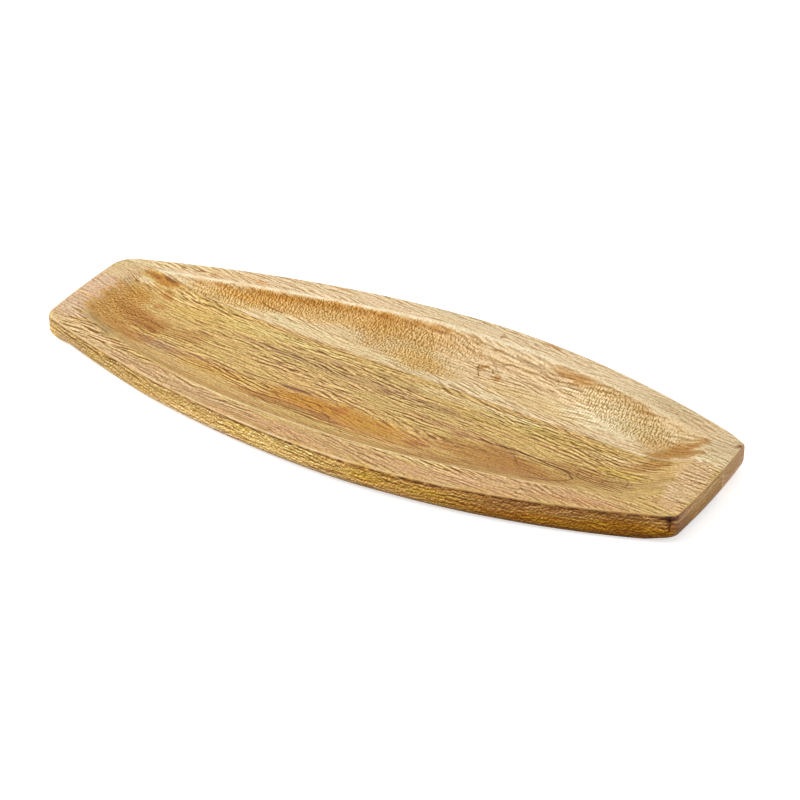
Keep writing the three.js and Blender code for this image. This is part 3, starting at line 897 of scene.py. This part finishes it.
def oiledWood(name, look):
    # the board's painted colour, tinted by each pattern in turn; the patterns also set gloss and grooves
    material = bpy.data.materials.new(name)
    material.use_nodes = True
    tree = material.node_tree
    shader = tree.nodes["Principled BSDF"]

    def attribute(label, output):
        return addNode(tree, "Attribute", attribute_name=label)[output]

    def math(operation, first, second=0.0, third=0.0):
        return addNode(tree, "Math", {0: first, 1: second, 2: third}, operation=operation)[0]

    def ramp(value, low, high, toLow=0.0, toHigh=1.0):
        inputs = {"Value": value, "From Min": low, "From Max": high, "To Min": toLow, "To Max": toHigh}
        return addNode(tree, "MapRange", inputs, interpolation_type="SMOOTHSTEP")[0]

    def along(size, turn=0.0, offset=0.0, aside=0.0, shorter=1.0):
        # fibre coordinates turned and scaled so that one unit is the size's length by its width
        length, width = size
        inputs = {"Vector": fibre, "Angle": -np.radians(turn)}
        turned = addNode(tree, "VectorRotate", inputs, rotation_type="Z_AXIS")[0]
        return addNode(tree, "Mapping", {
            "Vector": turned, "Location": (offset, offset * 1.7 + aside, offset * 0.6),
            "Scale": (1 / (length * shorter), 1 / width, 1 / width),
        }, vector_type="POINT")[0]

    def noise(vector, detail=0.6):
        inputs = {"Vector": vector, "Scale": 1.0, "Detail": detail, "Roughness": 0.5}
        return addNode(tree, "TexNoise", inputs)[0]

    def streaks(size, turn, offset, detail=0.6, shorter=1.0):
        # noise less the same noise half a unit to the side, which leaves thin lines and no broad blotches
        here = noise(along(size, turn, offset, 0.0, shorter), detail)
        beside = noise(along(size, turn, offset, 0.5, shorter), detail)
        return math("MULTIPLY_ADD", math("SUBTRACT", here, beside), 0.75, 0.5)

    def mixed(share, first, second, blend="MIX"):
        inputs = {0: share, 6: first, 7: second}
        return addNode(tree, "Mix", inputs, data_type="RGBA", blend_type=blend)[2]

    def tinted(colour, share, tint):
        return mixed(share, colour, mixed(1.0, colour, tint, "MULTIPLY"))

    fibre = attribute("fibre", "Vector")
    marks = addNode(tree, "SeparateXYZ", {0: attribute("marks", "Vector")})
    flecked, calm, chattered = addNode(tree, "SeparateXYZ", {0: attribute("texture", "Vector")})
    straight = streaks(grain["dash"], 0.0, 0.0)
    slanted = streaks(grain["dash"], look["slant"], 3.3, shorter=0.8)
    where = ramp(noise(along(grain["slanted"], 0, 7.7)), 0.42, 0.58)
    dashes = addNode(tree, "Mix", {0: where, 2: straight, 3: slanted}, data_type="FLOAT")[0]
    lively = ramp(noise(along(grain["lively"], 0, 12.3), 1.0), 0.36, 0.6, 0.55, 1.1)
    lively = math("MULTIPLY", lively, math("MULTIPLY_ADD", calm, -0.7, 1.0))
    dark = math("MULTIPLY", ramp(dashes, 0.5, 0.61), lively)
    light = math("MULTIPLY", ramp(dashes, 0.49, 0.38), lively)
    pores = ramp(noise(along(grain["pore"], look["slant"] * 0.5, 1.1)), 0.56, 0.68)
    pores = math("MULTIPLY", pores, lively)
    bands = ramp(noise(along(grain["band"], 0, 5.2), 3.0), 0.45, 0.65)
    hues = ramp(noise(along(grain["hue"], 0, 9.4), 2.0), 0.38, 0.62)
    flecks = streaks(grain["fleck"], look["fleckTurn"], 2.2, 2.0)
    glints = math("MULTIPLY", ramp(flecks, 0.48, 0.37), flecked)
    flecks = ramp(math("MULTIPLY_ADD", flecked, 0.17, flecks), 0.64, 0.72)
    pepper = noise(along(grain["pepper"], grain["pepperTurn"], 6.6), 1.5)
    ripples = addNode(tree, "TexWave", {
        "Vector": fibre, "Scale": grain["chatter"], "Distortion": 1.5, "Detail": 1.0, "Detail Scale": 0.2,
    }, bands_direction="X")[1]
    ripples = math("MULTIPLY", ramp(ripples, 0.2, 0.8), chattered)

    colour = mixed(1.0, attribute("stainAndPaintedLight", "Color"), mixed(hues, look["warm"], look["cool"]), "MULTIPLY")
    patterns = {"band": bands, "light": light, "dash": dark, "pore": pores, "fleck": flecks}
    for label, pattern in patterns.items():
        colour = tinted(colour, math("MULTIPLY", pattern, look[label]), look[label + "Tint"])
    colour = tinted(colour, glints, look["glintTint"])
    colour = tinted(colour, ramp(pepper, 0.47, 0.3), look["pepperLight"])
    colour = tinted(colour, ramp(pepper, 0.53, 0.7), look["pepperDark"])
    colour = tinted(colour, math("MULTIPLY", ripples, 0.9), grain["chatterColour"])
    beside = ramp(math("ABSOLUTE", marks[0]), 0.8, 0.25)
    mark = math("MULTIPLY", math("MULTIPLY", beside, ramp(marks[1], 1.6, 0.8)), marks[2])
    colour = tinted(colour, mark, grain["markColour"])
    tree.links.new(colour, shader.inputs["Base Color"])

    roughness = math("MULTIPLY_ADD", hues, 0.14, look["roughness"] - 0.07)
    roughness = math("MULTIPLY_ADD", pores, 0.12, roughness)
    tree.links.new(roughness, shader.inputs["Roughness"])
    shader.inputs["IOR"].default_value = 1.46
    tree.links.new(math("MULTIPLY_ADD", flecked, -0.14, 0.22), shader.inputs["Specular IOR Level"])

    grooves = math("MULTIPLY_ADD", dark, -0.5, math("MULTIPLY", pores, -0.8))
    grooves = math("MULTIPLY_ADD", mark, -1.5, grooves)
    grooves = math("MULTIPLY_ADD", ripples, 0.8, grooves)
    # the grooves are sanded out on the worn edges and shallower on end grain
    fading = math("MULTIPLY", ramp(calm, 1.2, 0.9), ramp(flecked, 0.0, 1.0, 1.0, 0.55))
    height = math("MULTIPLY_ADD", noise(along(grain["fuzz"], 0, 4.1), 1.0), 0.5, grooves)
    height = math("MULTIPLY", height, fading)
    bump = addNode(tree, "Bump", {
        "Strength": look["bump"], "Distance": grain["depth"] * mm, "Height": height,
    })[0]
    tree.links.new(bump, shader.inputs["Normal"])
    return material


farBoard.data.materials.append(oiledWood("paleMangoWood", {
    "slant": -10, "fleckTurn": 100, "roughness": 0.5, "bump": 0.6,
    "warm": (1.04, 0.99, 0.93, 1), "cool": (1.0, 1.0, 0.98, 1),
    "band": 0.25, "bandTint": (0.88, 0.80, 0.68, 1),
    "light": 1.0, "lightTint": (1.2, 1.24, 1.32, 1),
    "dash": 0.9, "dashTint": (0.58, 0.45, 0.29, 1),
    "pore": 0.4, "poreTint": (0.50, 0.38, 0.24, 1),
    "fleck": 1.0, "fleckTint": (0.52, 0.41, 0.24, 1), "glintTint": (1.17, 1.24, 1.3, 1),
    "pepperLight": (1.18, 1.22, 1.3, 1), "pepperDark": (0.78, 0.70, 0.58, 1),
}))
nearBoard.data.materials.append(oiledWood("brownMangoWood", {
    "slant": -8, "fleckTurn": 12, "roughness": 0.5, "bump": 0.6,
    "warm": (1.07, 1.02, 0.93, 1), "cool": (1.03, 1.06, 0.92, 1),
    "band": 0.25, "bandTint": (0.84, 0.74, 0.64, 1),
    "light": 1.0, "lightTint": (1.42, 1.47, 1.65, 1),
    "dash": 1.0, "dashTint": (0.36, 0.25, 0.16, 1),
    "pore": 0.55, "poreTint": (0.42, 0.31, 0.20, 1),
    "fleck": 0.8, "fleckTint": (0.50, 0.38, 0.22, 1), "glintTint": (1.45, 1.7, 2.3, 1),
    "pepperLight": (1.28, 1.34, 1.5, 1), "pepperDark": (0.70, 0.60, 0.50, 1),
}))

# Cured wood glue, pressed out as a film with sanding dust in it: a pale, slightly glossy hairline
hairline = {"resin": "#b98d55", "dust": "#e6cf9e", "dustScale": 900.0, "roughness": 0.4}  # specks of 1 mm
glue = bpy.data.materials.new("curedWoodGlue")
glue.use_nodes = True
tree = glue.node_tree
coordinates = addNode(tree, "TexCoord")["Object"]
inputs = {"Vector": coordinates, "Scale": hairline["dustScale"], "Detail": 2.0}
dusty = addNode(tree, "TexNoise", inputs)[0]
inputs = {0: dusty, 6: linear(hairline["resin"]), 7: linear(hairline["dust"])}
tint = addNode(tree, "Mix", inputs, data_type="RGBA")[2]
tree.links.new(tint, tree.nodes["Principled BSDF"].inputs["Base Color"])
tree.nodes["Principled BSDF"].inputs["Roughness"].default_value = hairline["roughness"]
glueLine.data.materials.append(glue)
print("wood finished")

# Camera at the photograph's viewing angle, for a square picture
view = {
    "azimuth": 30.0, "elevation": 32.56, "distance": 1620.7, "aim": (24.28, -17.75, 19.8),
    "lens": 119.96,
}
azimuth, elevation = np.radians(view["azimuth"]), np.radians(view["elevation"])
level = np.cos(elevation)
back = Vector((np.sin(azimuth) * level, -np.cos(azimuth) * level, np.sin(elevation)))
camera = placed("camera", bpy.data.cameras.new("camera"))
camera.data.lens = view["lens"]
camera.location = (Vector(view["aim"]) + back * view["distance"]) * mm
camera.rotation_mode = "QUATERNION"
camera.rotation_quaternion = (-back).to_track_quat("-Z", "Y")
scene.camera = camera

# Lengths in metres and power in watts
studio = {
    "floorSize": 6.0, "floorColour": 0.88, "floorGlow": 0.56, "worldLight": 0.7,
    "keyAt": (-0.8, -0.7, 1.15), "keyPower": 12.0, "keySize": 1.1,
}


def seenDirectly(tree):
    # 1 for what the camera sees straight, in a gloss or through glass, and 0 for the light on the object
    path = addNode(tree, "LightPath")
    inputs = {0: path["Is Camera Ray"], 1: path["Is Glossy Ray"]}
    seen = addNode(tree, "Math", inputs, operation="MAXIMUM")[0]
    return addNode(tree, "Math", {0: seen, 1: path["Is Transmission Ray"]}, operation="MAXIMUM")[0]


# White uncoated paper from a roll: matt, and plain white to the camera except in the platter's shade
half = studio["floorSize"] / 2
corners = [(-half, -half, 0), (half, -half, 0), (half, half, 0), (-half, half, 0)]
floorMesh = bpy.data.meshes.new("floor")
floorMesh.from_pydata(corners, [], [(0, 1, 2, 3)])
ground = placed("floor", floorMesh)
paper = bpy.data.materials.new("whitePaper")
paper.use_nodes = True
tree = paper.node_tree
tree.nodes.clear()
tone, white = studio["floorColour"], (1, 1, 1, 1)
diffuse = addNode(tree, "BsdfDiffuse", {"Color": (tone, tone, tone, 1)})[0]
glow = addNode(tree, "Emission", {"Color": white, "Strength": studio["floorGlow"]})[0]
lifted = addNode(tree, "AddShader", {0: diffuse, 1: glow})[0]
both = addNode(tree, "MixShader", {0: seenDirectly(tree), 1: diffuse, 2: lifted})[0]
addNode(tree, "OutputMaterial", {"Surface": both})
floorMesh.materials.append(paper)

# White surroundings, weaker as light on the wood than as a background
world = bpy.data.worlds.new("studio")
scene.world = world
world.use_nodes = True
tree = world.node_tree
tree.nodes.clear()
inputs = {"Value": seenDirectly(tree), "To Min": studio["worldLight"], "To Max": 1.0}
strength = addNode(tree, "MapRange", inputs)[0]
sky = addNode(tree, "Background", {"Color": white, "Strength": strength})[0]
addNode(tree, "OutputWorld", {"Surface": sky})

# A soft lamp from the near left
key = placed("softKey", bpy.data.lights.new("softKey", "AREA"))
key.data.energy = studio["keyPower"]
key.data.shape = "DISK"
key.data.size = studio["keySize"]
key.location = studio["keyAt"]
key.rotation_mode = "QUATERNION"
key.rotation_quaternion = (-key.location).to_track_quat("-Z", "Y")
scene.view_settings.view_transform = "Standard"
print("studio lit")
